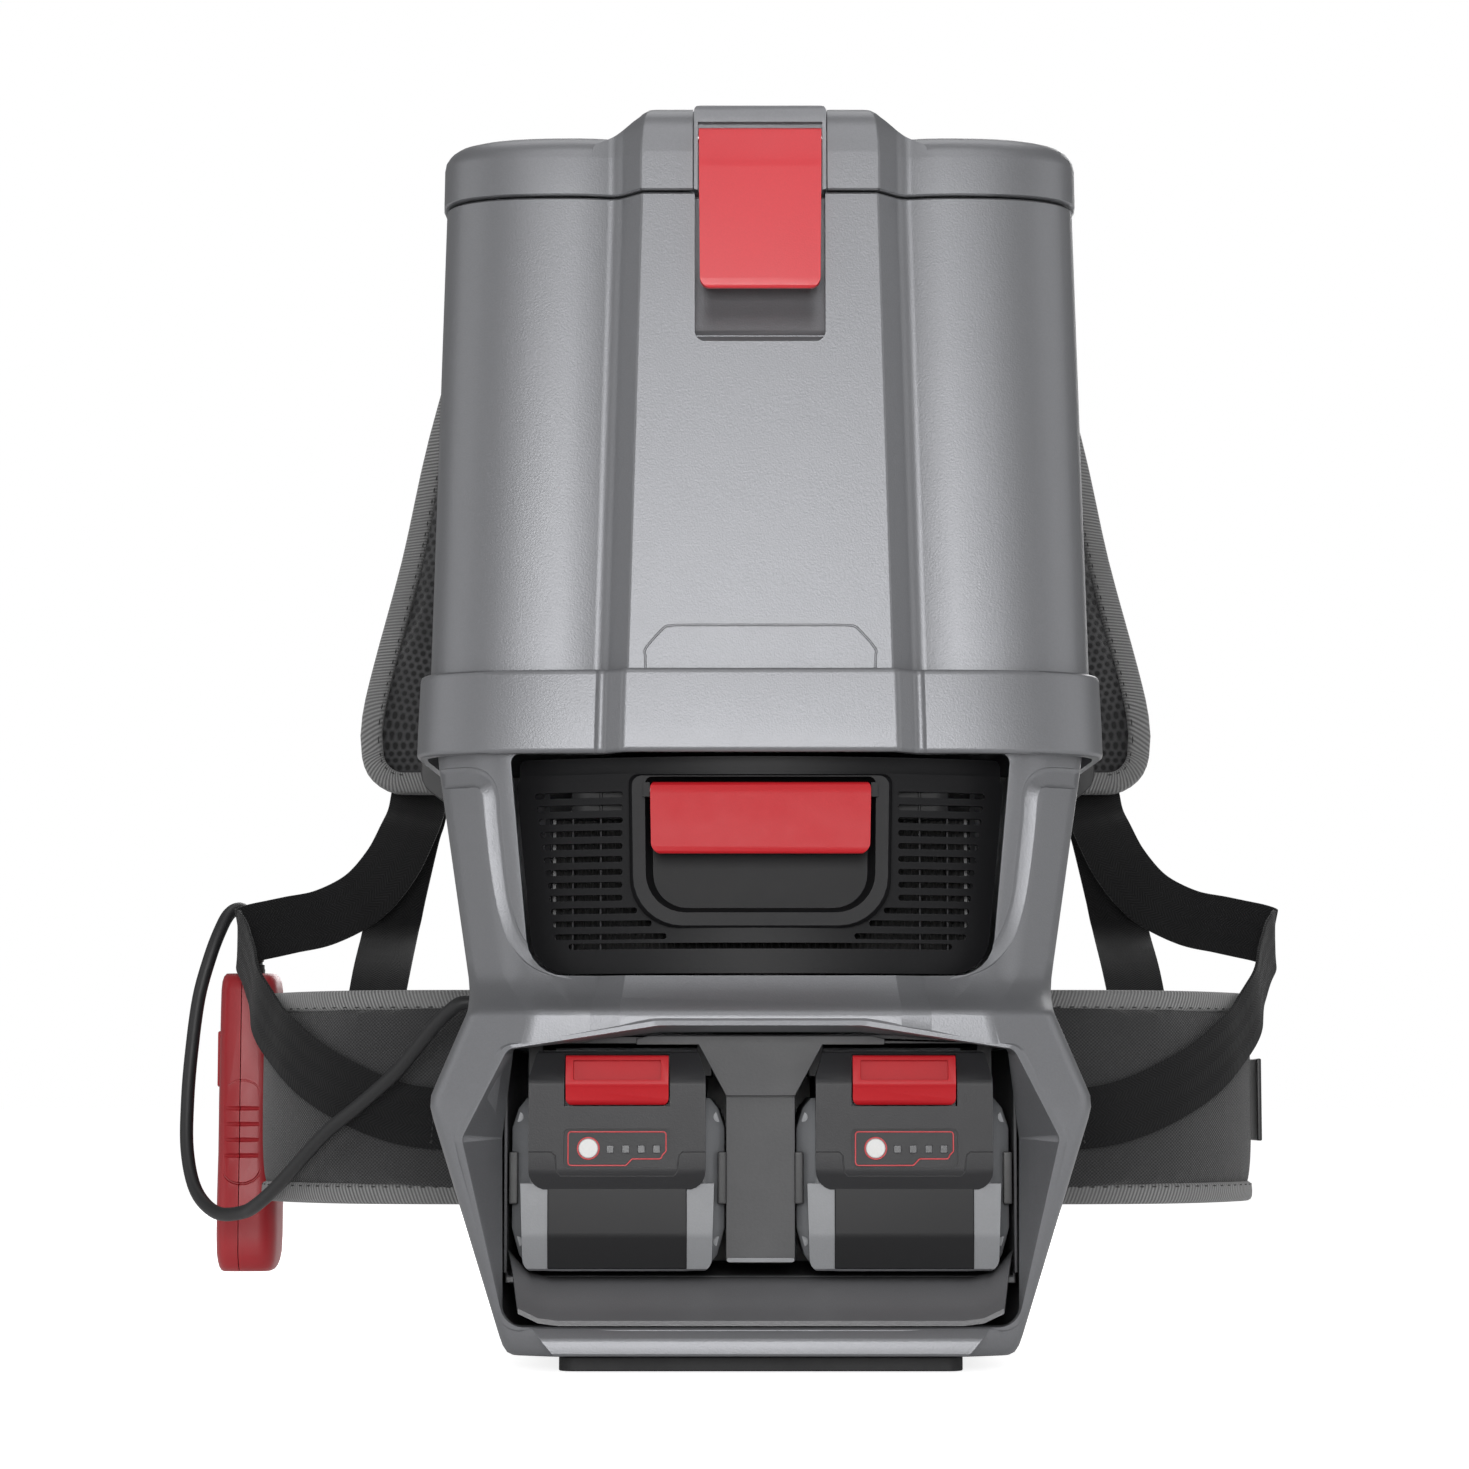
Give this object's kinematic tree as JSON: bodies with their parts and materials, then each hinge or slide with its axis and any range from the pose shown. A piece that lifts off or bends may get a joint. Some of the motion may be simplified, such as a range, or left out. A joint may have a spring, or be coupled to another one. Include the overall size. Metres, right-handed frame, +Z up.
{
  "type": "backpack vacuum cleaner",
  "caption": "Battery backpack vacuum with hinged canister lid, tilt-out exhaust filter door, slide-out batteries, padded harness, waist belt and wired remote.",
  "frame": {"origin": "on the underside of the rubber foot, midway across the machine, under the middle of the canister's depth", "axes": "+Z up, -Y the outer side with the batteries, +Y towards the wearer, +X to the right when the outer side is seen"},
  "size_m": [0.5263, 0.4287, 0.538],
  "materials": {
    "grey_plastic": "fine satin grain",
    "black_plastic": "satin",
    "charcoal_plastic": "textured",
    "red_plastic": "satin",
    "rubber": "matt",
    "steel": "bright",
    "circuit_board": "lacquered",
    "filter_media": "pleated paper",
    "bag_paper": "non-woven",
    "cell_wrap": "shrink wrap",
    "mesh_fabric": "spacer mesh",
    "webbing": "woven"
  },
  "bodies": {
    "machine": {"main_housing": "grey_plastic", "rear_cover": "grey_plastic", "foot": "rubber", "bay_liner": "black_plastic", "battery_dock": "charcoal_plastic", "motor_shroud": "black_plastic", "motor_stator": "steel", "control_board": "circuit_board", "pre_motor_filter": "charcoal_plastic", "filter_bag": "bag_paper", "canister": "grey_plastic", "collar_band": "grey_plastic", "hinge_pin": "steel", "back_plate": "black_plastic", "back_pad": "mesh_fabric", "shoulder_pad_left": "mesh_fabric", "shoulder_pad_right": "mesh_fabric", "tension_strap_left": "webbing", "tension_strap_right": "webbing", "lower_strap_left": "webbing", "lower_strap_right": "webbing", "strap_adjuster_left": "black_plastic", "strap_adjuster_right": "black_plastic", "hip_pad_left": "mesh_fabric", "hip_pad_right": "mesh_fabric", "remote_clip": "black_plastic", "belt_clip": "black_plastic", "waist_webbing_left": "webbing", "waist_webbing_right": "webbing", "buckle_socket": "black_plastic", "remote_case_outer": "red_plastic", "remote_case_inner": "red_plastic", "cord_boot": "rubber", "cord_grommet": "rubber", "remote_cord": "rubber"},
    "rotor": {"motor_rotor": "steel", "impeller": "charcoal_plastic"},
    "lid": {"lid_shell": "grey_plastic", "lid_gasket": "rubber", "latch_mount": "grey_plastic", "latch_pin": "steel"},
    "latch": {"lid_latch": "red_plastic"},
    "hose_port": {"hose_swivel": "black_plastic"},
    "door": {"filter_door": "black_plastic", "tab_pin": "steel", "hepa_cartridge": "filter_media"},
    "door_tab": {"pull_tab": "red_plastic"},
    "battery_left": {"battery_case_left": "grey_plastic", "battery_cells_left": "cell_wrap", "battery_cap_left": "black_plastic"},
    "release_left": {"battery_latch_left": "red_plastic"},
    "gauge_left": {"gauge_button_left": "steel"},
    "battery_right": {"battery_case_right": "grey_plastic", "battery_cells_right": "cell_wrap", "battery_cap_right": "black_plastic"},
    "release_right": {"battery_latch_right": "red_plastic"},
    "gauge_right": {"gauge_button_right": "steel"},
    "buckle": {"buckle_plug": "black_plastic"},
    "power_button": {"remote_button": "charcoal_plastic"}
  },
  "joints": [
    {"name": "impeller_spin", "type": "hinge", "parent": "machine", "child": "rotor", "pos_m": [0, 0.005, 0.18], "axis": [0, 0, 1], "continuous": true},
    {"name": "lid_hinge", "type": "hinge", "parent": "machine", "child": "lid", "pos_m": [0, 0.0815, 0.477], "axis": [-1, 0, 0], "range_deg": [0, 95]},
    {"name": "lid_latch_hinge", "type": "hinge", "parent": "lid", "child": "latch", "pos_m": [0, -0.1018, 0.5015], "axis": [-1, 0, 0], "range_deg": [0, 75]},
    {"name": "hose_swivel_turn", "type": "hinge", "parent": "lid", "child": "hose_port", "pos_m": [0, 0.012, 0.525], "axis": [0, 0, 1], "continuous": true},
    {"name": "filter_door_hinge", "type": "hinge", "parent": "machine", "child": "door", "pos_m": [0, -0.1, 0.158], "axis": [1, 0, 0], "range_deg": [0, 60]},
    {"name": "pull_tab_hinge", "type": "hinge", "parent": "door", "child": "door_tab", "pos_m": [0, -0.1035, 0.232], "axis": [-1, 0, 0], "range_deg": [0, 25], "stiffness_Nm_per_rad": 0.05},
    {"name": "battery_left_slide", "type": "slide", "parent": "machine", "child": "battery_left", "axis": [0, -1, 0], "range_m": [0, 0.14]},
    {"name": "release_left_press", "type": "slide", "parent": "battery_left", "child": "release_left", "axis": [0, 1, 0], "range_m": [0, 0.0038], "stiffness_N_per_m": 600},
    {"name": "gauge_left_press", "type": "slide", "parent": "battery_left", "child": "gauge_left", "axis": [0, 1, 0], "range_m": [0, 0.0008], "stiffness_N_per_m": 400},
    {"name": "battery_right_slide", "type": "slide", "parent": "machine", "child": "battery_right", "axis": [0, -1, 0], "range_m": [0, 0.14]},
    {"name": "release_right_press", "type": "slide", "parent": "battery_right", "child": "release_right", "axis": [0, 1, 0], "range_m": [0, 0.0038], "stiffness_N_per_m": 600},
    {"name": "gauge_right_press", "type": "slide", "parent": "battery_right", "child": "gauge_right", "axis": [0, 1, 0], "range_m": [0, 0.0008], "stiffness_N_per_m": 400},
    {"name": "buckle_slide", "type": "slide", "parent": "machine", "child": "buckle", "axis": [-1, 0, 0], "range_m": [0, 0.028]},
    {"name": "power_button_press", "type": "slide", "parent": "machine", "child": "power_button", "axis": [1, 0, 0], "range_m": [0, 0.0018], "stiffness_N_per_m": 500}
  ]
}
